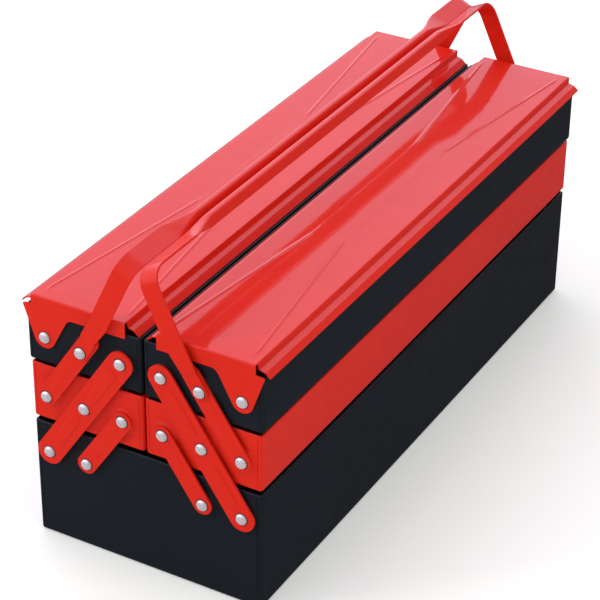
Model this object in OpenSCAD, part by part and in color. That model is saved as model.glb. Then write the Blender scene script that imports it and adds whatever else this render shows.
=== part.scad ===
// Cantilever tool box, five compartments: one base box, two middle trays and two
// top trays with lids, carried by parallel arms and lifted by two bail handles.
// Millimetres, +Z up, length along Y, opening to both sides along X.
// Origin: middle of the base box's underside. The closed box is drawn.

/* [Base box] */
// Width of the body across the box
body_w = 194; // [190:1:200]
// Length of the body, end wall to end wall
body_l = 524; // [380:1:560]
// Height of the base box
base_h = 100; // [96:0.5:101]
// Sheet thickness of boxes and trays
sheet = 1; // [0.8:0.1:1.2]
// Radius of the upright corners
corner_r = 3; // [2:0.5:4]
// Radius of the bends along the floor
floor_r = 2; // [1.5:0.25:2.5]
// Height of the folded safe edge inside each rim
hem_h = 7; // [5:0.5:9]

/* [Trays] */
// Underside of the middle trays
mid_z = 103.5; // [102.5:0.25:104]
// Height of the middle trays
mid_h = 47.4; // [46:0.1:47.6]
// Underside of the top trays
top_z = 153.2; // [153:0.1:154]
// Height of the top trays
top_h = 46.4; // [45:0.1:46.6]
// How far the top trays stand out past the body on the outer side
top_over = 1.6; // [0:0.1:2]
// Half of the gap between left and right trays
half_gap = 0.8; // [0.5:0.1:1.2]
// Dividers across each middle tray
mid_dividers_n = 3; // [1:1:5]
// Dividers across each top tray
top_dividers_n = 3; // [1:1:5]
// Thickness of the divider sheet
divider_t = 0.8; // [0.6:0.1:1]

/* [Linkage] */
// Outer column of pivots, distance from the middle
pivot_x = 82.5; // [80:0.5:84]
// Sideways step between pivot columns
pivot_dx = 32.75; // [30:0.25:33.5]
// Height of the lowest pivots
pivot_z = 77.5; // [76:0.5:79]
// Rise from one row of pivots to the next
pivot_dz = 48.75; // [48:0.25:49]
// Width of the long arms
arm_w = 21; // [18:0.5:22]
// Width of the short links
link_w = 15.5; // [14:0.5:17]
// Thickness of arms, links and handle strip
arm_t = 1.6; // [1.4:0.1:1.8]
// How far the upper link runs on past its top pivot
link_tail = 13; // [10:1:15]
// Radius of the pivot rivets' shanks
shank_r = 1.9; // [1.6:0.05:1.92]
// Radial clearance of an arm on its rivet
run_clear = 0.06; // [0.03:0.01:0.1]
// Radius of the rivets' domed heads
head_r = 4.6; // [4:0.1:4.8]
// Height of the rivets' domed heads
head_h = 2.3; // [1.8:0.1:2.6]

// Radius of the pressed bosses round the pivots
boss_r = 11.8; // [9:0.1:12]

/* [Handles] */
// Lean of the handle arms from upright, in degrees
lean = 25; // [22:1:28]
// Width of the handle strip
strip_w = 15; // [13:0.5:16]
// Height of the flat strip's inner edge above the ground
grip_z = 255.6; // [252:0.2:258]
// Middle radius of the bend from arm to grip
bend_r = 13.5; // [11:0.5:16]
// Half length of the pressed rail
rail_half = 196; // [150:1:205]
// Rise of the pressed rail above the strip
rail_h = 6.8; // [5:0.2:8]

/* [Lids] */
// Height of the lids' flat top above the ground
lid_z = 209.5; // [209:0.25:211]
// Height of the lid pivots
lid_pivot_z = 176; // [175:0.5:177]
// Depth of the folded end flanges
lid_end_h = 12.8; // [12:0.2:15]
// Radius of the lid tab round its rivet
tab_r = 8.8; // [7:0.2:9.4]

/* [Hidden] */
$fn = 48;
e = 0.01;
hl = body_l / 2;
hw = body_w / 2;
boss_h = 1.8;                          // pressed pivot bosses on the end walls
y_lid0 = hl + 0.6;                     // lid end flange, inner face
y_lid1 = y_lid0 + 1;
y_arm0 = hl + 1.9;                     // arms and links, inner face
y_arm1 = y_arm0 + arm_t;
y_lap0 = y_arm1;                       // handle lap over the upper link
y_out0 = y_lap0 + 1.3;                 // handle arm after its joggle
B1 = [pivot_x, pivot_z];
B2 = [pivot_x - pivot_dx, pivot_z];
M1 = [pivot_x - pivot_dx, pivot_z + pivot_dz];
M2 = [pivot_x - 2 * pivot_dx, pivot_z + pivot_dz];
M3 = [pivot_x, pivot_z + pivot_dz];
T1 = [pivot_x - 2 * pivot_dx, pivot_z + 2 * pivot_dz];
T2 = [pivot_x - pivot_dx, pivot_z + 2 * pivot_dz];
T3 = [pivot_x, lid_pivot_z];
red = [0.78, 0.12, 0.09];
black = [0.07, 0.075, 0.085];
steel = [0.8, 0.8, 0.82];

// ---- 2D helpers ----
// points of an arc about c
function arc(c, r, a0, a1, n) = [for (i = [0:n]) c + r * [cos(a0 + (a1 - a0) * i / n), sin(a0 + (a1 - a0) * i / n)]];
// rectangle with four rounded corners
function rrect(x0, x1, y0, y1, r) = concat(
  arc([x0 + r, y0 + r], r, 180, 270, 5), arc([x1 - r, y0 + r], r, 270, 360, 5),
  arc([x1 - r, y1 - r], r, 0, 90, 5), arc([x0 + r, y1 - r], r, 90, 180, 5));
// rectangle with rounded lower corners only
function brect(x0, x1, y0, y1, r) = concat(
  arc([x0 + r, y0 + r], r, 180, 270, 4), arc([x1 - r, y0 + r], r, 270, 360, 4), [[x1, y1], [x0, y1]]);
function unit(v) = v / norm(v);
function nrm(a, b) = let (d = unit(b - a)) [d[1], -d[0]];
// mitred offset of an open line, to its right-hand side
function off_pt(p, i, t) = let (n = len(p) - 1,
    n1 = i == 0 ? nrm(p[0], p[1]) : nrm(p[i - 1], p[i]),
    n2 = i == n ? nrm(p[n - 1], p[n]) : nrm(p[i], p[i + 1]))
  p[i] + t * (n1 + n2) / (1 + n1 * n2);
function strip(p, t) = concat(p, [for (i = [len(p) - 1:-1:0]) off_pt(p, i, t)]);
// tangent point on a circle, seen from p
function tang(p, c, r, s) = let (d = c - p, l = norm(d), a = atan2(d[1], d[0]) + s * asin(r / l))
  p + sqrt(l * l - r * r) * [cos(a), sin(a)];

// ---- placing helpers ----
// lays a 2D shape in the XZ plane, t thick, its inner face y0 from the middle; s = 1 rear, -1 front
module xz(s, y0, t) {
  translate([0, s > 0 ? y0 + t : -y0, 0]) rotate([90, 0, 0]) linear_extrude(t) children();
}
// points local +Z outward along Y at height y from the middle
module outward(s, y) {
  translate([0, s * y, 0]) rotate([s > 0 ? -90 : 90, 0, 0]) children();
}
module at(p) { translate([p[0], 0, p[1]]) children(); }
module side(k) { mirror([k < 0 ? 1 : 0, 0, 0]) children(); }

// ---- sheet boxes ----
module solid_box(x0, x1, y0, y1, z0, z1, rc, rb) {
  intersection() {
    translate([0, 0, z0]) linear_extrude(z1 - z0) polygon(rrect(x0, x1, y0, y1, rc));
    translate([0, y1 + 1, 0]) rotate([90, 0, 0]) linear_extrude(y1 - y0 + 2) polygon(brect(x0, x1, z0, z1, rb));
    translate([x0 - 1, 0, 0]) rotate([90, 0, 90]) linear_extrude(x1 - x0 + 2) polygon(brect(y0, y1, z0, z1, rb));
  }
}
// open box with a folded edge inside its rim and pressed, pierced pivot bosses in both ends
module open_box(x0, x1, z0, z1, pivots, low_pivots = []) {
  y1 = hl;
  difference() {
    union() {
      difference() {
        solid_box(x0, x1, -y1, y1, z0, z1, corner_r, floor_r);
        solid_box(x0 + sheet, x1 - sheet, -y1 + sheet, y1 - sheet, z0 + sheet, z1 + 1, corner_r - sheet, floor_r - sheet * 0.8);
      }
      translate([0, 0, z1 - hem_h]) linear_extrude(hem_h - 0.2) difference() {
        polygon(rrect(x0 + sheet * 0.5, x1 - sheet * 0.5, -y1 + sheet * 0.5, y1 - sheet * 0.5, corner_r - sheet * 0.5));
        polygon(rrect(x0 + sheet * 1.9, x1 - sheet * 1.9, -y1 + sheet * 1.9, y1 - sheet * 1.9, corner_r - sheet * 1.7));
      }
      for (s = [-1, 1]) {
        for (p = pivots) at(p) outward(s, y1 - 0.5) cylinder(h = boss_h + 0.5, r1 = boss_r, r2 = boss_r - 2.3);
        for (p = low_pivots) at(p) outward(s, y1 - 0.5) cylinder(h = 0.8, r1 = 8.6, r2 = 7.8);
      }
    }
    for (s = [-1, 1]) {
      for (p = pivots) at(p) {
        outward(s, y1 - sheet - 0.1) cylinder(h = boss_h + 0.1, r1 = boss_r - 0.9, r2 = boss_r - 3.2);
        outward(s, y1 - 5) cylinder(h = 10, r = shank_r + 0.03);
      }
      for (p = low_pivots) at(p) outward(s, y1 - 5) cylinder(h = 10, r = shank_r + 0.03);
    }
  }
}
// flat sheet dividers, their lower corners cut clear of the floor's bends
module dividers(n, x0, x1, z0, h) {
  c = floor_r;
  for (i = [1:n]) translate([0, -hl + body_l * i / (n + 1) + divider_t / 2, 0]) rotate([90, 0, 0]) linear_extrude(divider_t)
    polygon([[x0 + c, z0], [x1 - c, z0], [x1, z0 + c], [x1, z0 + h - 4], [x1 - 4, z0 + h], [x0 + 4, z0 + h], [x0, z0 + h - 4], [x0, z0 + c]]);
}
// domed rivet through an end wall: y0 the wall's inner face, y1 the head's seat
module rivet(s, y0, y1) {
  rr = (head_r * head_r + head_h * head_h) / (2 * head_h);
  a = asin(head_r / rr);
  outward(s, 0) rotate_extrude() polygon(concat(
    [[0, y0 - 1.3], [3.3, y0 - 1.3], [3.9, y0 - 0.7], [3.9, y0], [shank_r, y0], [shank_r, y1], [head_r, y1]],
    [for (i = [1:8]) let (b = a * (1 - i / 8)) [rr * sin(b), y1 + head_h - rr + rr * cos(b)]]));
}
module rivets(pts, y0, y1) { for (s = [-1, 1]) for (p = pts) at(p) rivet(s, y0, y1); }

// ---- linkage ----
module bar2d(a, b, r) {
  d = b - a;
  union() {
    translate(a) circle(r);
    translate(b) circle(r);
    translate(a) rotate(atan2(d[1], d[0])) translate([0, -r]) square([norm(d), 2 * r]);
  }
}
// flat bar between two pivots, pierced at every pivot in pts
module bar(s, a, b, r, pts) {
  difference() {
    xz(s, y_arm0, arm_t) bar2d(a, b, r);
    for (p = pts) at(p) outward(s, y_arm0 - 2) cylinder(h = arm_t + 4, r = shank_r + run_clear);
  }
}
module long_arm(s) {
  u = unit(T1 - B1);
  color(red) union() {
    bar(s, B1, T1, arm_w / 2, [B1, M1, T1]);
    // pressed stiffening beads between the rivets
    for (q = [[B1, M1], [M1, T1]]) xz(s, y_arm1 - e, 0.7) bar2d(q[0] + 14 * u, q[1] - 14 * u, 4);
  }
}
module lower_link(s) { color(red) bar(s, B2, M2, link_w / 2, [B2, M2]); }
module upper_link(s) {
  color(red) bar(s, M3, T2 + link_tail * unit(T2 - M3), link_w / 2, [M3, T2]);
}

// ---- handle ----
// frame of the grip: local X along the strip's width, local Z square to its flat side
module grip_frame() { translate([half_gap - 0.2, 0, grip_z]) rotate([0, -lean, 0]) children(); }
function grip_pt(x, z) = [half_gap - 0.2 + x * cos(lean) - z * sin(lean), grip_z + x * sin(lean) + z * cos(lean)];
y_mid = y_out0 + arm_t / 2;
arm_end = -62;
y_bend = y_mid - bend_r;
// outline of the bend and the arm, seen along the strip's width
function arm_path(t) = concat(arc([y_bend, -bend_r], bend_r + t / 2, 90, 0, 14),
  [[y_mid + t / 2, arm_end], [y_mid - t / 2, arm_end]], arc([y_bend, -bend_r], bend_r - t / 2, 0, 90, 14));
// leaning arm at the rear end, s = -1 mirrors it to the front
module handle_arm(s) {
  w1 = [cos(33.9), sin(33.9)];
  color(red) mirror([0, s < 0 ? 1 : 0, 0]) union() {
    grip_frame() rotate([90, 0, 90]) linear_extrude(strip_w) polygon(arm_path(arm_t));
    // taper down to the joggle
    xz(1, y_out0, arm_t) polygon([grip_pt(0, arm_end), grip_pt(strip_w, arm_end), [49, 187.6], [37.6, 182.9]]);
    // lap over the upper link, pierced for the tray's rivet
    difference() {
      xz(1, y_lap0, arm_t) union() {
        polygon([T2 + 6.6 * w1, [46.9, 190.5], [36.8, 186.1], T2 - 6.6 * w1]);
        translate(T2) circle(6.6);
      }
      at(T2) outward(1, y_lap0 - 2) cylinder(h = arm_t + 4, r = shank_r + run_clear);
    }
  }
}
// grip: the pressed rail and the flat ends that run on into the bends
module handle_grip() {
  g = half_gap - 0.2;
  t = arm_t / 2;
  y0 = rail_half - 10;
  y1 = y_bend - 0.02;
  rail = [[g, grip_z - 0.9], [g + 2.4, grip_z + rail_h], [g + 7.6, grip_z + rail_h], [g + 10, grip_z - 0.9]];
  color(red) union() {
    translate([0, rail_half, 0]) rotate([90, 0, 0]) linear_extrude(2 * rail_half) polygon(strip(rail, 1.5));
    for (m = [0, 1]) mirror([0, m, 0]) grip_frame() rotate([90, 0, 90]) linear_extrude(strip_w)
      polygon([[y0, t], [y1, t], [y1, -t], [y0, -t]]);
  }
}

// ---- lid ----
function bez(a, b, c, n) = [for (i = [0:n]) let (t = i / n) (1 - t) * (1 - t) * a + 2 * t * (1 - t) * b + t * t * c];
module lid() {
  zp = lid_z;
  ledge = 3.4;                        // the stepped edges stop short of the end flanges
  prof = [[2.9, zp - 9.3], [6.2, zp - 5.7], [11, zp - 4], [13, zp], [93, zp], [94.5, zp - 4], [99.8, zp - 5.7], [103.5, zp - 9.3]];
  zb = zp - lid_end_h;
  k = [61.5, zb];
  ta = tang(k, T3, tab_r, -1);
  top = [100.2, zp - 9.4];
  tb = tang(top, T3, tab_r, 1);
  a0 = atan2(ta[1] - T3[1], ta[0] - T3[0]);
  a1 = atan2(tb[1] - T3[1], tb[0] - T3[0]);
  // end flange with its tab, from the inner lower corner round to the top
  flange = concat([[13.6, zb]], bez(k - [4.5, 0], k, k + 5 * unit(ta - k), 5), arc(T3, tab_r, a0 < 0 ? a0 : a0 - 360, a1, 24),
    bez(top - 1.5 * unit(top - T3), top, [98.4, zp - 8.7], 3), [[93.9, zp - 8], [92.6, zp - 4.4], [92.4, zp - 0.5], [13.6, zp - 0.5]]);
  color(red) difference() {
    union() {
      difference() {
        translate([0, y_lid1, 0]) rotate([90, 0, 0]) linear_extrude(2 * y_lid1) polygon(strip(prof, 1));
        for (s = [-1, 1]) for (x = [0, 92.6]) translate([x, s > 0 ? y_lid1 - ledge : -y_lid1 - 1, zp - 14]) cube([x > 0 ? 14 : 13.4, ledge + 1, 16]);
      }
      for (s = [-1, 1]) xz(s, y_lid0, 1) polygon(flange);
    }
    for (s = [-1, 1]) at(T3) outward(s, y_lid0 - 2) cylinder(h = 6, r = shank_r + run_clear);
  }
}

// ---- bodies ----
mid_x0 = half_gap;
mid_x1 = hw + 0.2;
top_x1 = hw + top_over;
module base_box() { color(black) open_box(-hw, hw, 0, base_h, [B1, B2, [-B1[0], B1[1]], [-B2[0], B2[1]]]); }
module base_rivets() { color(steel) rivets([B1, B2, [-B1[0], B1[1]], [-B2[0], B2[1]]], hl + boss_h - sheet, y_arm1 + 0.1); }
module mid_tray() { color(red) open_box(mid_x0, mid_x1, mid_z, mid_z + mid_h, [M1, M2, M3]); }
module mid_dividers() { color(black) dividers(mid_dividers_n, mid_x0 + sheet + 0.05, mid_x1 - sheet - 0.05, mid_z + sheet, mid_h - hem_h - 2.5); }
module mid_rivets() { color(steel) rivets([M1, M2, M3], hl + boss_h - sheet, y_arm1 + 0.1); }
module top_tray() { color(black) open_box(mid_x0, top_x1, top_z, top_z + top_h, [T1, T2], [T3]); }
module top_dividers() { color(black) dividers(top_dividers_n, mid_x0 + sheet + 0.05, top_x1 - sheet - 0.05, top_z + sheet, top_h - hem_h - 2.5); }
module top_rivets() {
  color(steel) {
    rivets([T1], hl + boss_h - sheet, y_arm1 + 0.1);
    rivets([T2], hl + boss_h - sheet, y_lap0 + arm_t + 0.1);
  }
}
module lid_rivets() { color(steel) rivets([T3], hl - sheet, y_lid1 + 0.1); }

base_box();
base_rivets();
side(1) long_arm(-1);  // right_long_arm_front
side(1) long_arm(1);  // right_long_arm_rear
side(1) lower_link(-1);  // right_lower_link_front
side(1) lower_link(1);  // right_lower_link_rear
side(1) mid_tray();  // right_mid_tray
side(1) mid_dividers();  // right_mid_dividers
side(1) mid_rivets();  // right_mid_rivets
side(1) top_tray();  // right_top_tray
side(1) top_dividers();  // right_top_dividers
side(1) top_rivets();  // right_top_rivets
side(1) lid_rivets();  // right_lid_rivets
side(1) upper_link(-1);  // right_upper_link_front
side(1) upper_link(1);  // right_upper_link_rear
side(1) handle_grip();  // right_handle_grip
side(1) handle_arm(-1);  // right_handle_arm_front
side(1) handle_arm(1);  // right_handle_arm_rear
side(1) lid();  // right_lid
side(-1) long_arm(-1);  // left_long_arm_front
side(-1) long_arm(1);  // left_long_arm_rear
side(-1) lower_link(-1);  // left_lower_link_front
side(-1) lower_link(1);  // left_lower_link_rear
side(-1) mid_tray();  // left_mid_tray
side(-1) mid_dividers();  // left_mid_dividers
side(-1) mid_rivets();  // left_mid_rivets
side(-1) top_tray();  // left_top_tray
side(-1) top_dividers();  // left_top_dividers
side(-1) top_rivets();  // left_top_rivets
side(-1) lid_rivets();  // left_lid_rivets
side(-1) upper_link(-1);  // left_upper_link_front
side(-1) upper_link(1);  // left_upper_link_rear
side(-1) handle_grip();  // left_handle_grip
side(-1) handle_arm(-1);  // left_handle_arm_front
side(-1) handle_arm(1);  // left_handle_arm_rear
side(-1) lid();  // left_lid
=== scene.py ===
import math

import bmesh
import bpy
from mathutils import Matrix, Vector


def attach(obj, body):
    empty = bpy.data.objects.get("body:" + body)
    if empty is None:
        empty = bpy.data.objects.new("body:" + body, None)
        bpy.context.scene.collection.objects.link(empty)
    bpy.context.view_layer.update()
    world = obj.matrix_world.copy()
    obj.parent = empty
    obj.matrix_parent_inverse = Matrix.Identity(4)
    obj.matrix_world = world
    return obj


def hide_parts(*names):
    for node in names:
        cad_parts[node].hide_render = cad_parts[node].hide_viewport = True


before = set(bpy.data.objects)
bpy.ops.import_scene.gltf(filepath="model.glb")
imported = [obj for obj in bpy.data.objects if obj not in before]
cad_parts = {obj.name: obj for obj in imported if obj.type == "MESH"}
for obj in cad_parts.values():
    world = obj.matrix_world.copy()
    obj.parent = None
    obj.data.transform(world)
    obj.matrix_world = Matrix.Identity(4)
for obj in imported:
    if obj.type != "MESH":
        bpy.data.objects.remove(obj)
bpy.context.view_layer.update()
scene = bpy.context.scene
MM = 0.001

# ------------------------------------------------------------------ camera
cam_data = bpy.data.cameras.new("camera")
cam_data.sensor_width = 36.0
cam_data.sensor_fit = "HORIZONTAL"
cam_data.lens = 132.49
cam_data.clip_start = 0.05
cam_data.clip_end = 120.0
cam = bpy.data.objects.new("camera", cam_data)
scene.collection.objects.link(cam)
CAM_POS = (0.731995, -1.343178, 1.021113)
CAM_ROT = (
    (0.869490, -0.262927, 0.418159),
    (0.493858, 0.446289, -0.746277),
    (0.009596, 0.855392, 0.517893),
)
cam.matrix_world = Matrix.Translation(Vector(CAM_POS)) @ Matrix(CAM_ROT).to_4x4()
scene.camera = cam

# ------------------------------------------------------------------ sizes, as in the CAD source (mm)
HL, HW = 262.0, 97.0
PX, PDX, PZ, PDZ = 82.5, 32.75, 77.5, 48.75
B1, B2 = (PX, PZ), (PX - PDX, PZ)
M1, M2, M3 = (PX - PDX, PZ + PDZ), (PX - 2 * PDX, PZ + PDZ), (PX, PZ + PDZ)
T1, T2, T3 = (PX - 2 * PDX, PZ + 2 * PDZ), (PX - PDX, PZ + 2 * PDZ), (PX, 176.0)
BOSS_H = 1.8
Y_ARM0 = HL + 1.9
ARM_T = 1.6
Y_ARM1 = Y_ARM0 + ARM_T
LEAN = math.radians(25)
STRIP_W = 15.0
GRIP_X, GRIP_Z = 0.6, 255.6
Y_OUT_MID = 267.6
BEND_R = 13.5
Y_BEND = Y_OUT_MID - BEND_R
SIDES = (("right", 1), ("left", -1))


def smooth(t):
    t = min(max(t, 0.0), 1.0)
    return t * t * (3 - 2 * t)


def lerp(a, b, t):
    return a + (b - a) * t


def spaced(a, b, step):
    n = max(1, int(math.ceil(abs(b - a) / step)))
    return [lerp(a, b, i / n) for i in range(n + 1)]


def merged(values, eps=0.05):
    out = []
    for v in sorted(values):
        if not out or v - out[-1] > eps:
            out.append(v)
    return out


# ------------------------------------------------------------------ materials
def new_material(name):
    m = bpy.data.materials.new(name)
    m.use_nodes = True
    nt = m.node_tree
    for n in list(nt.nodes):
        nt.nodes.remove(n)
    out = nt.nodes.new("ShaderNodeOutputMaterial")
    bsdf = nt.nodes.new("ShaderNodeBsdfPrincipled")
    nt.links.new(bsdf.outputs[0], out.inputs[0])
    return m, nt, bsdf


def noise_tex(nt, coord, scale, detail=2.0, rough=0.5):
    n = nt.nodes.new("ShaderNodeTexNoise")
    n.inputs["Scale"].default_value = scale
    n.inputs["Detail"].default_value = detail
    n.inputs["Roughness"].default_value = rough
    nt.links.new(coord, n.inputs["Vector"])
    return n.outputs["Fac"]


def ramp(nt, source, stops):
    r = nt.nodes.new("ShaderNodeValToRGB")
    els = r.color_ramp.elements
    while len(els) < len(stops):
        els.new(0.5)
    for e, (p, c) in zip(els, stops):
        e.position = p
        e.color = (c, c, c, 1) if isinstance(c, (int, float)) else (*c, 1)
    nt.links.new(source, r.inputs[0])
    return r.outputs[0]


def math_node(nt, op, a, b):
    n = nt.nodes.new("ShaderNodeMath")
    n.operation = op
    for i, v in enumerate((a, b)):
        if isinstance(v, (int, float)):
            n.inputs[i].default_value = v
        else:
            nt.links.new(v, n.inputs[i])
    return n.outputs[0]


def mix_colour(nt, fac, a, b):
    n = nt.nodes.new("ShaderNodeMix")
    n.data_type = "RGBA"
    nt.links.new(fac, n.inputs[0])
    for i, v in ((6, a), (7, b)):
        if isinstance(v, tuple):
            n.inputs[i].default_value = (*v, 1)
        else:
            nt.links.new(v, n.inputs[i])
    return n.outputs[2]


def bump(nt, height, strength, distance, normal=None):
    b = nt.nodes.new("ShaderNodeBump")
    b.inputs["Strength"].default_value = strength
    b.inputs["Distance"].default_value = distance
    nt.links.new(height, b.inputs["Height"])
    if normal is not None:
        nt.links.new(normal, b.inputs["Normal"])
    return b.outputs[0]


def paint(name, base, shade, rough, coat, coat_rough, peel, spec, coat_ior):
    """Baked enamel: slow colour drift, a faint cloudiness, orange peel, and fine dust in the roughness."""
    m, nt, bsdf = new_material(name)
    tc = nt.nodes.new("ShaderNodeTexCoord").outputs["Object"]
    drift = noise_tex(nt, tc, 9.0, 3.0)
    mottle = noise_tex(nt, tc, 70.0, 4.0, 0.6)
    fine = noise_tex(nt, tc, 1100.0, 2.0)
    peel_n = noise_tex(nt, tc, 300.0, 2.0, 0.45)
    dent = noise_tex(nt, tc, 11.0, 1.0)
    cloud = math_node(nt, "ADD", math_node(nt, "MULTIPLY", drift, 0.65), math_node(nt, "MULTIPLY", mottle, 0.35))
    nt.links.new(mix_colour(nt, ramp(nt, cloud, [(0.3, 0.0), (0.7, 1.0)]), base, shade), bsdf.inputs["Base Color"])
    dust = math_node(nt, "ADD", math_node(nt, "MULTIPLY", mottle, 0.6), math_node(nt, "MULTIPLY", fine, 0.4))
    nt.links.new(ramp(nt, dust, [(0.25, rough * 0.82), (0.75, rough * 1.2)]), bsdf.inputs["Roughness"])
    bsdf.inputs["Coat Weight"].default_value = coat
    bsdf.inputs["Coat Roughness"].default_value = coat_rough
    bsdf.inputs["Coat IOR"].default_value = coat_ior
    bsdf.inputs["Specular IOR Level"].default_value = spec
    n1 = bump(nt, dent, 0.30, 0.0009)
    n2 = bump(nt, peel_n, peel, 0.00016, n1)
    n3 = bump(nt, fine, peel * 0.6, 0.00003, n2)
    nt.links.new(n3, bsdf.inputs["Normal"])
    nt.links.new(n2, bsdf.inputs["Coat Normal"])
    return m


RED = paint("red_enamel", (0.74, 0.023, 0.009), (0.69, 0.018, 0.007), 0.42, 1.0, 0.06, 0.20, 0.04, 1.36)
BLACK = paint("black_enamel", (0.0108, 0.0158, 0.0195), (0.0088, 0.0132, 0.0165), 0.46, 0.25, 0.28, 0.40, 0.15, 1.4)


def plated_steel(name, bright, dull, dark, rough, metal):
    """Bright plated steel with fine scratches, random dull mottling and a few dark spots."""
    m, nt, bsdf = new_material(name)
    tc = nt.nodes.new("ShaderNodeTexCoord").outputs["Object"]
    mottle = noise_tex(nt, tc, 450.0, 4.0, 0.6)
    scratch = noise_tex(nt, tc, 2600.0, 2.0)
    spots = ramp(nt, noise_tex(nt, tc, 900.0, 3.0, 0.6), [(0.60, 0.0), (0.72, 1.0)])
    col = mix_colour(nt, ramp(nt, mottle, [(0.3, 0.0), (0.7, 1.0)]), bright, dull)
    nt.links.new(mix_colour(nt, math_node(nt, "MULTIPLY", spots, 0.20), col, dark), bsdf.inputs["Base Color"])
    nt.links.new(ramp(nt, mottle, [(0.25, rough * 0.8), (0.8, rough * 1.3)]), bsdf.inputs["Roughness"])
    bsdf.inputs["Metallic"].default_value = metal
    nt.links.new(bump(nt, scratch, 0.18, 0.00002, bump(nt, mottle, 0.10, 0.00004)), bsdf.inputs["Normal"])
    return m


STEEL = plated_steel("plated_steel", (0.95, 0.93, 0.93), (0.90, 0.88, 0.88), (0.66, 0.64, 0.64), 0.28, 0.50)
# painted shadow: near-black steel for the thin ring under each rivet head, standing in for the head's contact shadow
SHADOW_RING = plated_steel("seat_shadow", (0.030, 0.024, 0.022), (0.018, 0.014, 0.013), (0.010, 0.008, 0.008), 0.55, 0.3)


# ------------------------------------------------------------------ mesh helpers
def add_object(name, bm, material, body, slot, replaces, sharp=38.0, flip=False):
    bmesh.ops.recalc_face_normals(bm, faces=bm.faces)
    if flip:
        bmesh.ops.reverse_faces(bm, faces=bm.faces)
    lim = math.radians(sharp)
    for f in bm.faces:
        f.smooth = True
    for e in bm.edges:
        if len(e.link_faces) == 2:
            e.smooth = e.calc_face_angle(0.0) < lim
    me = bpy.data.meshes.new(name)
    bm.to_mesh(me)
    bm.free()
    me.materials.append(material)
    ob = bpy.data.objects.new(name, me)
    scene.collection.objects.link(ob)
    return ob


def settle(ob, body, slot, *nodes):
    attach(ob, body)
    if nodes:
        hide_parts(*nodes)


def grid_faces(bm, rows, close_u=False):
    for a, b in zip(rows, rows[1:]):
        n = len(a)
        for i in range(n if close_u else n - 1):
            j = (i + 1) % n
            q = []
            for v in (a[i], a[j], b[j], b[i]):
                if v not in q:
                    q.append(v)
            if len(q) > 2 and not bm.faces.get(q):
                bm.faces.new(q)


def vert(bm, p, k=1):
    return bm.verts.new((k * p[0] * MM, p[1] * MM, p[2] * MM))


def thicken(ob, t, offset, edge=0.3, segments=2):
    """Sheet thickness and softened cut edges, added as solidify, bevel and weighted-normal modifiers."""
    s = ob.modifiers.new("sheet", "SOLIDIFY")
    s.thickness = t * MM
    s.offset = offset
    s.use_even_offset = True
    s.use_quality_normals = True
    if edge:
        b = ob.modifiers.new("edge", "BEVEL")
        b.width = edge * MM
        b.segments = segments
        b.limit_method = "ANGLE"
        b.angle_limit = math.radians(50)
        b.use_clamp_overlap = True
        b.harden_normals = False
    w = ob.modifiers.new("normals", "WEIGHTED_NORMAL")
    w.keep_sharp = True
    w.weight = 60
    return ob


# ------------------------------------------------------------------ sheet boxes with folded rims and pressed bosses
def boss_height(x, z, pivots, low):
    h = 0.0
    for px, pz in pivots:
        d = math.hypot(x - px, z - pz)
        h = max(h, BOSS_H * (1 - smooth((d - 6.6) / 5.2)))
    for px, pz in low:
        d = math.hypot(x - px, z - pz)
        h = max(h, 0.3 * (1 - smooth((d - 7.6) / 1.6)))
    return h


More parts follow.
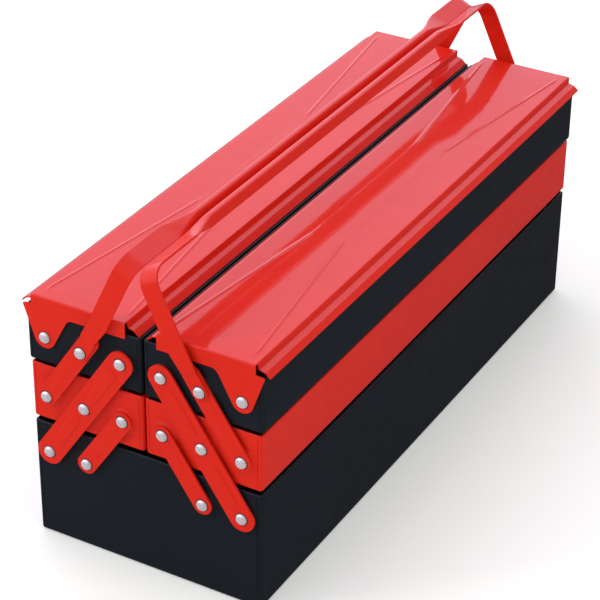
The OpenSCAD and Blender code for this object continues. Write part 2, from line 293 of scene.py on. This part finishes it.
def sheet_box(name, k, x0, x1, z0, z1, pivots, low, material, body, slot, replaced):
    t, hem, hem_h, r_out, r_floor = 1.0, 1.9, 7.0, 2.6, 2.0
    seam = 3.1
    xs = [x0 + r_out, x1 - r_out]
    for px, _ in list(pivots) + list(low):
        xs += [v for v in spaced(px - 13, px + 13, 1.3) if x0 + r_out < v < x1 - r_out]
    for s in (x0 + seam, x1 - seam):
        d = 1 if s < (x0 + x1) / 2 else -1
        xs += [s, s + d * 0.12, s + d * 0.38, s + d * 0.5]
    xs += spaced(x0 + r_out, x1 - r_out, 9.0)
    xs = merged(xs, 0.08)
    ys = merged(spaced(-HL + r_out, HL - r_out, 36.0))
    zs = [z0 + r_floor, z1 - 0.95]
    for _, pz in list(pivots) + list(low):
        zs += [v for v in spaced(pz - 13, pz + 13, 1.3) if z0 + r_floor < v < z1 - hem_h - 1.0]
    zs += [v for v in spaced(z0 + r_floor, z1 - hem_h - 1, 12.0)]
    outer_z = merged(zs + [z1 - hem_h, z1 - 4.0], 0.2)
    inner_z = merged([z for z in outer_z if z0 + 2.4 < z < z1 - hem_h - 1.2] + [z0 + 2.3, z1 - hem_h - 1.0], 0.2)

    # profile: (inset, z, displaced?)
    prof = []
    for i in range(5):
        a = math.radians(90 * i / 5)
        prof.append((r_floor * (1 - math.sin(a)), z0 + r_floor * (1 - math.cos(a)), False))
    prof += [(0.0, z, True) for z in outer_z]
    for i in range(1, 8):
        a = math.pi * i / 8
        prof.append((0.95 - 0.95 * math.cos(a), z1 - 0.95 + 0.95 * math.sin(a), False))
    prof += [(hem, z1 - 0.95, False), (hem, z1 - 4.0, False), (hem, z1 - hem_h + 0.3, False), (1.55, z1 - hem_h - 0.1, False), (1.0, z1 - hem_h - 0.35, False)]
    prof += [(t, z, True) for z in reversed(inner_z)]
    for i in range(1, 5):
        a = math.radians(90 * i / 4)
        prof.append((t + 1.3 * (1 - math.cos(a)), z0 + t + 1.3 * (1 - math.sin(a)), False))

    def groove(x, z):
        if not (z0 + 3.0 < z < z1 - 1.0):
            return 0.0
        for s, d in ((x0 + seam, 1), (x1 - seam, -1)):
            if -0.01 < d * (x - s) - 0.1 < 0.31:
                return -0.38
        return 0.0

    def ring(inset, z, moved):
        r = max(r_out - inset, 0.7)
        X0, X1, Y0, Y1 = x0 + inset, x1 - inset, -HL + inset, HL - inset
        pts = []
        n = 5

        def corner(cx, cy, a0):
            for i in range(1, n):
                a = math.radians(a0 + 90 * i / n)
                pts.append((cx + r * math.cos(a), cy + r * math.sin(a)))

        xr = [X0 + r + (x - (x0 + r_out)) * ((X1 - X0 - 2 * r) / (x1 - x0 - 2 * r_out)) for x in xs]
        yr = [Y0 + r + (y - (-HL + r_out)) * ((Y1 - Y0 - 2 * r) / (2 * HL - 2 * r_out)) for y in ys]
        outside = moved and inset < 0.5
        for x in xr:  # front end
            d = boss_height(x, z, pivots, low) if moved else 0.0
            g = groove(x, z) if outside else 0.0
            pts.append((x, Y0 - d - g))
        corner(X1 - r, Y0 + r, 270)
        for y in yr:
            pts.append((X1, y))
        corner(X1 - r, Y1 - r, 0)
        for x in reversed(xr):  # rear end
            d = boss_height(x, z, pivots, low) if moved else 0.0
            g = groove(x, z) if outside else 0.0
            pts.append((x, Y1 + d + g))
        corner(X0 + r, Y1 - r, 90)
        for y in reversed(yr):
            pts.append((X0, y))
        corner(X0 + r, Y0 + r, 180)
        return pts

    bm = bmesh.new()
    rows = []
    for inset, z, moved in prof:
        rows.append([vert(bm, (p[0], p[1], z), k) for p in ring(inset, z, moved)])
    grid_faces(bm, rows, close_u=True)
    bm.faces.new(rows[0])
    bm.faces.new(rows[-1])
    ob = add_object(name, bm, material, body, slot, replaced, sharp=42)
    w = ob.modifiers.new("normals", "WEIGHTED_NORMAL")
    w.keep_sharp = True
    settle(ob, body, slot, replaced)
    return ob


all_b = [B1, B2, (-B1[0], B1[1]), (-B2[0], B2[1])]
sheet_box("base_shell", 1, -HW, HW, 0.0, 100.0, all_b, [], BLACK, "root", "black_paint", "base_box")
for side, k in SIDES:
    sheet_box(side + "_mid_shell", k, 0.8, 97.2, 103.5, 150.9, [M1, M2, M3], [], RED, side + "_mid_tray", "red_paint", side + "_mid_tray")
    sheet_box(side + "_top_shell", k, 0.8, 98.6, 153.2, 199.6, [T1, T2], [T3], BLACK, side + "_top_tray", "black_paint", side + "_top_tray")


# ------------------------------------------------------------------ domed rivets
def rivet_ring(bm, k, s, p, prof, n=32):
    cx, cz = p
    rows = []
    for r, y in prof:
        if r < 1e-6:
            v = vert(bm, (cx, s * y, cz), k)
            rows.append([v] * n)
        else:
            rows.append([vert(bm, (cx + r * math.cos(2 * math.pi * i / n), s * y, cz + r * math.sin(2 * math.pi * i / n)), k) for i in range(n)])
    grid_faces(bm, rows, close_u=True)


def rivet_profile(y0, y1):
    hr, hh = 4.5, 2.3
    prof = [(0.0, y0 - 1.3), (2.6, y0 - 1.3), (3.3, y0 - 1.25), (3.75, y0 - 0.95), (3.9, y0 - 0.5), (3.9, y0), (1.9, y0), (1.9, y1), (hr - 0.15, y1), (hr, y1 + 0.12), (hr, y1 + 0.32), (hr - 0.12, y1 + 0.5)]
    n = 9
    for i in range(1, n + 1):
        a = math.pi / 2 * i / n
        prof.append(((hr - 0.12) * math.cos(a) ** 0.92 if i < n else 0.0, y1 + 0.5 + (hh - 0.5) * math.sin(a)))
    return prof


def rivets(name, k, items, body, replaced):
    bm = bmesh.new()
    for p, y0, y1 in items:
        for s in (-1, 1):
            rivet_ring(bm, k, s, p, rivet_profile(y0, y1))
    ob = add_object(name, bm, STEEL, body, "rivet_steel", replaced, sharp=55)
    settle(ob, body, "rivet_steel", replaced)


def shadow_rings(name, k, items, body):
    """Thin dark ring under every head: painted shadow where the head meets the strip."""
    bm = bmesh.new()
    for p, y in items:
        for s in (-1, 1):
            rivet_ring(bm, k, s, p, [(2.1, y + 0.03), (5.0, y + 0.03), (5.12, y + 0.08), (5.0, y + 0.14), (2.1, y + 0.14), (2.1, y + 0.03)])
    bmesh.ops.remove_doubles(bm, verts=bm.verts, dist=1e-7)
    ob = add_object(name, bm, SHADOW_RING, body, "black_paint", None, sharp=55)
    settle(ob, body, "black_paint")


W0 = HL + BOSS_H - 1.0
rivets("base_pivots", 1, [(p, W0, Y_ARM1 + 0.1) for p in all_b], "root", "base_rivets")
# the dark rings under the heads are painted shadow
shadow_rings("base_pivot_shadow_rings", 1, [(p, Y_ARM1) for p in all_b], "root")
for side, k in SIDES:
    rivets(side + "_mid_pivots", k, [(p, W0, Y_ARM1 + 0.1) for p in (M1, M2, M3)], side + "_mid_tray", side + "_mid_rivets")
    rivets(side + "_top_pivots", k, [(T1, W0, Y_ARM1 + 0.1), (T2, W0, Y_ARM1 + ARM_T + 0.1)], side + "_top_tray", side + "_top_rivets")
    rivets(side + "_lid_pivots", k, [(T3, HL - 1.0, HL + 1.7)], side + "_top_tray", side + "_lid_rivets")
    # the dark rings under these heads are painted shadow too
    shadow_rings(side + "_mid_pivot_shadow_rings", k, [(p, Y_ARM1) for p in (M1, M2, M3)], side + "_mid_tray")
    shadow_rings(side + "_top_pivot_shadow_rings", k, [(T1, Y_ARM1), (T2, Y_ARM1 + ARM_T)], side + "_top_tray")
    shadow_rings(side + "_lid_pivot_shadow_rings", k, [(T3, HL + 1.6)], side + "_top_tray")


# ------------------------------------------------------------------ arms and links
def bar(name, k, s, a, b, r, relief, body, replaced):
    """Pressed flat bar from a to b with round ends. relief(u, v) is its raised height at u along it and v across it."""
    L = math.hypot(b[0] - a[0], b[1] - a[1])
    ux, uz = (b[0] - a[0]) / L, (b[1] - a[1]) / L
    us = []
    n = 10
    for i in range(n):
        th = math.radians(3 + 87 * i / n)
        us.append(-r * math.cos(th))
    us += spaced(0.0, L, 1.6)
    us += [L + r * math.sin(math.radians(87 * (i + 1) / n)) for i in range(n)]
    vs = merged([-1, -0.96, 0.96, 1] + spaced(-0.9, 0.9, 0.05), 0.01)
    bm = bmesh.new()
    rows = []
    for u in us:
        over = max(-u, u - L, 0.0)
        w = math.sqrt(max(r * r - over * over, 0.02))
        row = []
        for v in vs:
            h = relief(u, v * w, L)
            x = a[0] + ux * u - uz * v * w
            z = a[1] + uz * u + ux * v * w
            row.append(vert(bm, (x, s * (Y_ARM0 + ARM_T / 2 + h), z), k))
        rows.append(row)
    grid_faces(bm, rows)
    ob = add_object(name, bm, RED, body, "red_paint", replaced, sharp=60)
    thicken(ob, ARM_T, 0.0, 0.35, 2)
    settle(ob, body, "red_paint", replaced)
    return ob


def long_relief(u, v, L):
    h = 0.0
    for c0, c1 in ((14.0, L / 2 - 14.0), (L / 2 + 14.0, L - 14.0)):
        d = math.hypot(max(c0 - u, u - c1, 0.0), v)
        h = max(h, 0.69 * (1 - smooth((d - 3.3) / 1.3)))
    return h


def link_relief(u, v, L):
    h = 0.0
    for c0, c1 in ((12.5, L - 12.5),):
        if c1 > c0:
            d = math.hypot(max(c0 - u, u - c1, 0.0), v)
            h = 0.26 * (1 - smooth((d - 1.6) / 1.7))
    return h


for side, k in SIDES:
    for end, s in (("front", -1), ("rear", 1)):
        bar(side + "_long_bar_" + end, k, s, B1, T1, 10.5, long_relief, side + "_long_arms", side + "_long_arm_" + end)
        bar(side + "_low_bar_" + end, k, s, B2, M2, 7.75, link_relief, side + "_lower_links", side + "_lower_link_" + end)
        d = math.hypot(T2[0] - M3[0], T2[1] - M3[1])
        tail = (T2[0] + 13 * (T2[0] - M3[0]) / d, T2[1] + 13 * (T2[1] - M3[1]) / d)
        bar(side + "_up_bar_" + end, k, s, M3, tail, 7.75, lambda u, v, L, d=d: link_relief(u, v, d), side + "_handle", side + "_upper_link_" + end)


# ------------------------------------------------------------------ handles
CW, SW = math.cos(LEAN), math.sin(LEAN)


def gp(x, z):
    return (GRIP_X + x * CW - z * SW, GRIP_Z + x * SW + z * CW)


def rail_section():
    """Middle line of the pressed rail, from the inner foot over the top to the outer foot, with rounded shoulders."""
    t = 0.75
    foot_a, sh_a, sh_b, foot_b = (GRIP_X + t * 0.95, GRIP_Z - 0.9), (3.0 + 0.55, 262.4 - t), (8.2 - 0.55, 262.4 - t), (10.6 - t * 0.95, GRIP_Z - 0.9)
    pts = [foot_a, (lerp(foot_a[0], sh_a[0], 0.45), lerp(foot_a[1], sh_a[1], 0.45)), (lerp(foot_a[0], sh_a[0], 0.82), lerp(foot_a[1], sh_a[1], 0.82))]
    pts += [(sh_a[0] - 0.12, sh_a[1] - 0.5), (sh_a[0] + 0.45, sh_a[1] - 0.05), (sh_a[0] + 1.2, sh_a[1] + 0.05)]
    pts += [((sh_a[0] + sh_b[0]) / 2, sh_a[1] + 0.12)]
    half = [(sh_a[0] + sh_b[0] - p[0], p[1]) for p in reversed(pts[:-1])]
    # mirror about the rail's middle
    mid = (foot_a[0] + foot_b[0]) / 2
    half = [(2 * mid - p[0], p[1]) for p in reversed(pts[:-1])]
    return pts + half


RAIL = rail_section()
NC = len(RAIL)
FLAT_C = [0.0, 0.02, 0.04, 0.07, 0.13, 0.24, 0.5, 0.76, 0.87, 0.93, 0.96, 0.98, 1.0]


def strip_row(y, depth, tilt=0.0):
    """Points (x, y, z) across the strip at grip offset depth (local z)."""
    return [(gp(STRIP_W * c, depth)[0], y, gp(STRIP_W * c, depth)[1]) for c in FLAT_C]


def handle_rows():
    rows = []
    # lap: rounded end round T2, widening to the joggle
    w1 = (math.cos(math.radians(33.9)), math.sin(math.radians(33.9)))
    y_lap, y_out = Y_ARM1 + ARM_T / 2, Y_OUT_MID
    R = 6.6
    n = 8
    for i in range(n + 1):
        th = math.radians(4 + 86 * i / n)
        c = (T2[0] + R * math.cos(th) * w1[1], T2[1] - R * math.cos(th) * w1[0])
        h = R * math.sin(th)
        a = (c[0] - h * w1[0], c[1] - h * w1[1])
        b = (c[0] + h * w1[0], c[1] + h * w1[1])
        rows.append((a, b, y_lap))
    a0, b0 = rows[-1][0], rows[-1][1]
    a1, b1 = (37.2, 184.4), (47.8, 189.2)
    for f in (0.35, 0.65, 0.85):
        rows.append(((lerp(a0[0], a1[0], f), lerp(a0[1], a1[1], f)), (lerp(b0[0], b1[0], f), lerp(b0[1], b1[1], f)), y_lap))
    # joggle out by 1.3 mm
    a2, b2 = gp(0, -62), gp(STRIP_W, -62)
    ja, jb = (36.3, 185.2), (47.6, 190.6)
    for f, g in ((0.0, 0.06), (0.25, 0.28), (0.5, 0.55), (0.75, 0.82), (1.0, 1.0)):
        fa = (lerp(a1[0], ja[0], f), lerp(a1[1], ja[1] + 1.5, f))
        fb = (lerp(b1[0], jb[0], f), lerp(b1[1], jb[1] + 1.5, f))
        rows.append((fa, fb, lerp(y_lap, y_out, smooth(g))))
    a3, b3 = rows[-1][0], rows[-1][1]
    for f in (0.3, 0.6, 0.85, 1.0):
        rows.append(((lerp(a3[0], a2[0], f), lerp(a3[1], a2[1], f)), (lerp(b3[0], b2[0], f), lerp(b3[1], b2[1], f)), y_out))
    out = []
    for a, b, y in rows:
        out.append([(lerp(a[0], b[0], c), y, lerp(a[1], b[1], c)) for c in FLAT_C])
    for d in spaced(-62, -BEND_R, 6.0)[1:]:
        out.append(strip_row(y_out, d))
    m = 12
    for i in range(1, m + 1):
        th = math.radians(90 * i / m)
        out.append(strip_row(Y_BEND + BEND_R * math.cos(th), -BEND_R + BEND_R * math.sin(th)))
    for y in (245.0, 236.0, 226.0, 216.0):
        out.append(strip_row(y, 0.0))
    # pressed transition from the flat strip to the rail
    y_a, y_b = 211.0, 182.0
    steps = 12
    flat = strip_row(0.0, 0.0)
    for i in range(steps + 1):
        f = i / steps
        y = lerp(y_a, y_b, f)
        g = smooth(f) * 0.35 + f * 0.65
        out.append([(lerp(flat[c][0], RAIL[c][0], g), y, lerp(flat[c][2], RAIL[c][1], g)) for c in range(NC)])
    for y in (174.0, 150.0, 120.0, 90.0, 60.0, 30.0):
        out.append([(RAIL[c][0], y, RAIL[c][1]) for c in range(NC)])
    return out


def handle(name, k, body, nodes):
    half = handle_rows()
    bm = bmesh.new()
    rows = [[vert(bm, (x, -y, z), k) for x, y, z in row] for row in half]
    rows += [[vert(bm, (x, y, z), k) for x, y, z in row] for row in reversed(half)]
    grid_faces(bm, rows)
    ob = add_object(name, bm, RED, body, "red_paint", nodes, sharp=60)
    thicken(ob, ARM_T, 0.0, 0.4, 2)
    settle(ob, body, "red_paint", *nodes)
    return ob


for side, k in SIDES:
    handle(side + "_bail", k, side + "_handle", [side + "_handle_grip", side + "_handle_arm_front", side + "_handle_arm_rear"])


# ------------------------------------------------------------------ lids
LID_Z = 209.5
PROFILE = [(2.7, 199.9), (7.2, 203.9), (11.6, 204.9), (13.0, 209.5), (93.0, 209.5), (94.4, 204.9), (99.4, 203.8), (103.5, 200.2)]
LEDGE_END = 260.2
TAB_R = 8.8
KNEE = (61.5, 196.7)
TIP = (100.2, 200.1)


def tangent(p, c, r, s):
    dx, dz = c[0] - p[0], c[1] - p[1]
    l = math.hypot(dx, dz)
    a = math.atan2(dz, dx) + s * math.asin(r / l)
    q = math.sqrt(l * l - r * r)
    return (p[0] + q * math.cos(a), p[1] + q * math.sin(a))


TA = tangent(KNEE, T3, TAB_R, -1)
TB = tangent(TIP, T3, TAB_R, 1)


def knee_points():
    l = math.hypot(TA[0] - KNEE[0], TA[1] - KNEE[1])
    a = (KNEE[0] - 4.5, KNEE[1])
    c = (KNEE[0] + 5 * (TA[0] - KNEE[0]) / l, KNEE[1] + 5 * (TA[1] - KNEE[1]) / l)
    return [((1 - t) ** 2 * a[0] + 2 * t * (1 - t) * KNEE[0] + t * t * c[0], (1 - t) ** 2 * a[1] + 2 * t * (1 - t) * KNEE[1] + t * t * c[1]) for t in [i / 8 for i in range(9)]]


def tab_points():
    a0 = math.atan2(TA[1] - T3[1], TA[0] - T3[0]) % (2 * math.pi)
    a1 = math.atan2(TB[1] - T3[1], TB[0] - T3[0]) % (2 * math.pi)
    return [(T3[0] + TAB_R * math.cos(lerp(a0, a1, i / 28)), T3[1] + TAB_R * math.sin(lerp(a0, a1, i / 28))) for i in range(29)]


LOWER = [(13.2, KNEE[1])] + knee_points() + tab_points()
LOWER = [p for i, p in enumerate(LOWER) if i == 0 or p[0] > LOWER[i - 1][0] + 1e-4] + [(TIP[0] - 0.25, TIP[1] - 0.9), TIP]
LOWER = sorted(LOWER)


def flange_bottom(x):
    for (xa, za), (xb, zb) in zip(LOWER, LOWER[1:]):
        if x <= xb:
            return lerp(za, zb, min(max((x - xa) / (xb - xa), 0.0), 1.0))
    return LOWER[-1][1]


FOLD = 201.5


def outer_top(x):
    """Upper edge of the flange's outer corner, below the stepped edge."""
    pts = [(93.0, FOLD), (94.2, FOLD - 0.05), (98.2, 200.95), (99.4, 200.65), (100.2, 200.15)]
    for (xa, za), (xb, zb) in zip(pts, pts[1:]):
        if x <= xb:
            return lerp(za, zb, min(max((x - xa) / (xb - xa), 0.0), 1.0))
    return pts[-1][1]


def profile_z(x):
    for (xa, za), (xb, zb) in zip(PROFILE, PROFILE[1:]):
        if x <= xb:
            return lerp(za, zb, (x - xa) / (xb - xa))
    return PROFILE[-1][1]


def seg_dist(px, py, a, b):
    dx, dy = b[0] - a[0], b[1] - a[1]
    t = ((px - a[0]) * dx + (py - a[1]) * dy) / (dx * dx + dy * dy)
    t = min(max(t, 0.0), 1.0)
    return math.hypot(px - a[0] - t * dx, py - a[1] - t * dy)


RIBS = [((17.0, 249.0), (37.0, 86.0)), ((86.0, 249.0), (63.5, 86.0))]


def lid_relief(x, y):
    """Stamped stiffening of the top: two ribs towards each end, and a very shallow crown."""
    if x < 13.2 or x > 92.8:
        return 0.0
    ay = abs(y)
    h = 0.0
    for a, b in RIBS:
        d = seg_dist(x, ay, a, b)
        h = max(h, 0.62 * (1 - smooth((d - 0.25) / 1.15)))
    # fields between the ribs stand a little proud of the rim
    xa = 17 + 20 * (249 - min(max(ay, 86), 249)) / 163
    xb = 86 - 22.5 * (249 - min(max(ay, 86), 249)) / 163
    inner = min(smooth((x - xa + 3.0) / 6.0), smooth((xb + 3.0 - x) / 6.0))
    return h + 0.18 * inner * smooth((262.0 - ay) / 14.0)


def lid(name, k, body, replaced):
    xs = [2.7, 3.4, 5.0, 6.4, 6.9, 7.2, 7.5, 8.2, 9.6, 10.9, 11.3, 11.6, 11.9, 12.3, 12.7, 13.0, 13.2, 13.6]
    xs += spaced(14.0, 92.4, 0.7) + [p[0] for p in LOWER if 14.0 < p[0] < 92.9]
    xs += [93.0, 93.3, 93.7, 94.1, 94.4, 94.7, 95.3, 96.4, 97.8, 99.1, 99.4, 99.7, 100.2, 101.5, 102.8, 103.5]
    xs = merged(xs, 0.12)
    left, right = min(xs, key=lambda v: abs(v - 13.2)), min(xs, key=lambda v: abs(v - 93.0))

    def soft_z(x):
        # rounds the profile's bends by averaging over a short span
        z = 0.0
        for d, w in ((-0.3, 1), (0.0, 2), (0.3, 1)):
            z += w * profile_z(min(max(x + d, 2.7), 103.5))
        return z / 4

    ys = merged(spaced(0, 84, 14) + spaced(84, 252, 3.5) + [255.0, 258.0, LEDGE_END, 261.2, 262.1])
    R = 1.5
    bm = bmesh.new()
    i0, i1 = xs.index(left), xs.index(right)

    def half(sgn):
        rows = []
        for y in ys:
            rows.append([(x, sgn * y, soft_z(x) + lid_relief(x, y)) for x in xs])
        for i in range(1, 5):
            th = math.radians(90 * i / 4)
            rows.append([(x, sgn * (262.1 + R * math.sin(th)), soft_z(x) - R * (1 - math.cos(th))) for x in xs])
        return rows

    north, south = half(1), half(-1)
    rows = [[vert(bm, p, k) for p in row] for row in list(reversed(south)) + north[1:]]
    limit = (LEDGE_END + 0.01) * MM
    for a, b in zip(rows, rows[1:]):
        for i in range(len(xs) - 1):
            if (i0 <= i and i + 1 <= i1) or (abs(a[0].co.y) < limit and abs(b[0].co.y) < limit):
                bm.faces.new((a[i], a[i + 1], b[i + 1], b[i]))
    # end flanges: an upper band under the plate, then the outline's own depth, and the outer corner beyond the plate
    beyond = [93.5, 94.2, 95.2, 96.2, 97.2, 98.2, 99.0, 99.6, 99.95, 100.2]
    for edge_row, sgn in ((rows[0], -1), (rows[-1], 1)):
        prev = [edge_row[i] for i in range(i0, i1 + 1)]
        cols = xs[i0:i1 + 1]
        for j in range(1, 5):
            cur = [vert(bm, (x, sgn * 263.6, lerp(soft_z(x) - R, FOLD, j / 4)), k) for x in cols]
            for i in range(len(cur) - 1):
                bm.faces.new((prev[i], prev[i + 1], cur[i + 1], cur[i]))
            prev = cur
        more = [vert(bm, (x, sgn * 263.6, outer_top(x)), k) for x in beyond]
        prev = prev + more
        wide = cols + beyond
        tops = [FOLD] * len(cols) + [outer_top(x) for x in beyond]
        for j in range(1, 13):
            cur = [vert(bm, (x, sgn * 263.6, lerp(t, min(flange_bottom(x), t - 0.03), j / 12)), k) for x, t in zip(wide, tops)]
            for i in range(len(cur) - 1):
                bm.faces.new((prev[i], prev[i + 1], cur[i + 1], cur[i]))
            prev = cur
    loose = [v for v in bm.verts if not v.link_faces]
    bmesh.ops.delete(bm, geom=loose, context="VERTS")
    ob = add_object(name, bm, RED, body, "red_paint", replaced, sharp=60)
    me = ob.data
    # every normal points out, so that the sheet grows inwards
    if sum(p.normal.z * p.area for p in me.polygons) < 0:
        me.flip_normals()
    thicken(ob, 1.0, -1.0, 0.25, 2)
    settle(ob, body, "red_paint", replaced)
    return ob


for side, k in SIDES:
    lid(side + "_cover", k, side + "_lid", side + "_lid")

# ------------------------------------------------------------------ dividers stay as the CAD drew them
for side, k in SIDES:
    for n in (side + "_mid_dividers", side + "_top_dividers"):
        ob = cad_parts[n]
        if ob.material_slots:
            for sl in ob.material_slots:
                sl.material = BLACK
        else:
            ob.data.materials.append(BLACK)

# ------------------------------------------------------------------ floor, world, lights
bm = bmesh.new()
S = 36.0
n = 24
rows = [[bm.verts.new((lerp(-S, S, i / n), lerp(-S, S, j / n), -0.0004)) for i in range(n + 1)] for j in range(n + 1)]
grid_faces(bm, rows)
me = bpy.data.meshes.new("floor")
bm.to_mesh(me)
bm.free()
floor = bpy.data.objects.new("floor", me)
scene.collection.objects.link(floor)
fm, nt, bsdf = new_material("floor_white")
tc = nt.nodes.new("ShaderNodeTexCoord").outputs["Object"]
nt.links.new(mix_colour(nt, noise_tex(nt, tc, 3.0), (0.87, 0.91, 0.80), (0.85, 0.89, 0.78)), bsdf.inputs["Base Color"])
bsdf.inputs["Roughness"].default_value = 0.85
bsdf.inputs["Specular IOR Level"].default_value = 0.0
bsdf.inputs["Emission Color"].default_value = (1.0, 1.0, 1.0, 1)
bsdf.inputs["Emission Strength"].default_value = 0.22
floor.data.materials.append(fm)
floor.visible_glossy = False

# pale backdrop all round, seen only by the camera
bm = bmesh.new()
rows = []
for j in range(13):
    a = math.radians(lerp(-4, 90, j / 12))
    rr = 50.0 * max(math.cos(a), 0.002)
    rows.append([bm.verts.new((rr * math.cos(2 * math.pi * i / 48), rr * math.sin(2 * math.pi * i / 48), 50.0 * math.sin(a))) for i in range(48)])
grid_faces(bm, rows, close_u=True)
me = bpy.data.meshes.new("backdrop")
bm.to_mesh(me)
bm.free()
backdrop = bpy.data.objects.new("backdrop", me)
scene.collection.objects.link(backdrop)
bm_mat, nt, bsdf = new_material("backdrop_white")
tc = nt.nodes.new("ShaderNodeTexCoord").outputs["Object"]
nt.links.new(mix_colour(nt, noise_tex(nt, tc, 0.05), (0.0, 0.0, 0.0), (0.01, 0.01, 0.01)), bsdf.inputs["Base Color"])
bsdf.inputs["Specular IOR Level"].default_value = 0.0
bsdf.inputs["Emission Color"].default_value = (1.0, 1.0, 1.0, 1)
bsdf.inputs["Emission Strength"].default_value = 1.0
me.materials.append(bm_mat)
for flag in ("visible_diffuse", "visible_glossy", "visible_transmission", "visible_volume_scatter", "visible_shadow"):
    setattr(backdrop, flag, False)

world = bpy.data.worlds.new("studio")
scene.world = world
world.use_nodes = True
wn = world.node_tree
bg = wn.nodes["Background"]
sep = wn.nodes.new("ShaderNodeSeparateXYZ")
wn.links.new(wn.nodes.new("ShaderNodeTexCoord").outputs["Generated"], sep.inputs[0])
# a white tent: brighter behind, above and to the left, dim on the right and below the table
tent = math_node(wn, "ADD", math_node(wn, "MULTIPLY", sep.outputs[0], -0.42), math_node(wn, "MULTIPLY", sep.outputs[1], 0.42))
tent = math_node(wn, "ADD", tent, math_node(wn, "MULTIPLY", sep.outputs[2], 0.62))
tent = math_node(wn, "MAXIMUM", math_node(wn, "ADD", tent, 0.72), 0.14)
tent = math_node(wn, "MULTIPLY", tent, ramp(wn, math_node(wn, "ADD", sep.outputs[0], 0.5), [(0.52, 1.0), (0.92, 0.22)]))
above = ramp(wn, math_node(wn, "ADD", sep.outputs[2], 0.5), [(0.44, 0.0), (0.495, 1.0)])
level = math_node(wn, "MAXIMUM", math_node(wn, "MULTIPLY", tent, above), 0.09)
wn.links.new(level, bg.inputs[1])
bg.inputs[0].default_value = (0.98, 0.91, 1.10, 1)


def area(name, pos, target, size, power, colour=(1, 1, 1)):
    d = bpy.data.lights.new(name, "AREA")
    d.shape = "RECTANGLE"
    d.size, d.size_y = size
    d.energy = power
    d.color = colour
    o = bpy.data.objects.new(name, d)
    scene.collection.objects.link(o)
    o.location = pos
    o.rotation_euler = (Vector(target) - Vector(pos)).to_track_quat("-Z", "Y").to_euler()
    return o


area("key_left_front", (-2.2, -2.0, 1.6), (0, 0, 0.12), (1.0, 1.0), 25)
fill = area("fill_right", (2.3, -0.5, 1.8), (0, 0, 0.12), (2.0, 2.0), 31)
fill.visible_glossy = False

scene.view_settings.view_transform = "Standard"
scene.view_settings.look = "None"
scene.view_settings.exposure = 0.0
scene.view_settings.gamma = 1.0

bpy.context.view_layer.update()
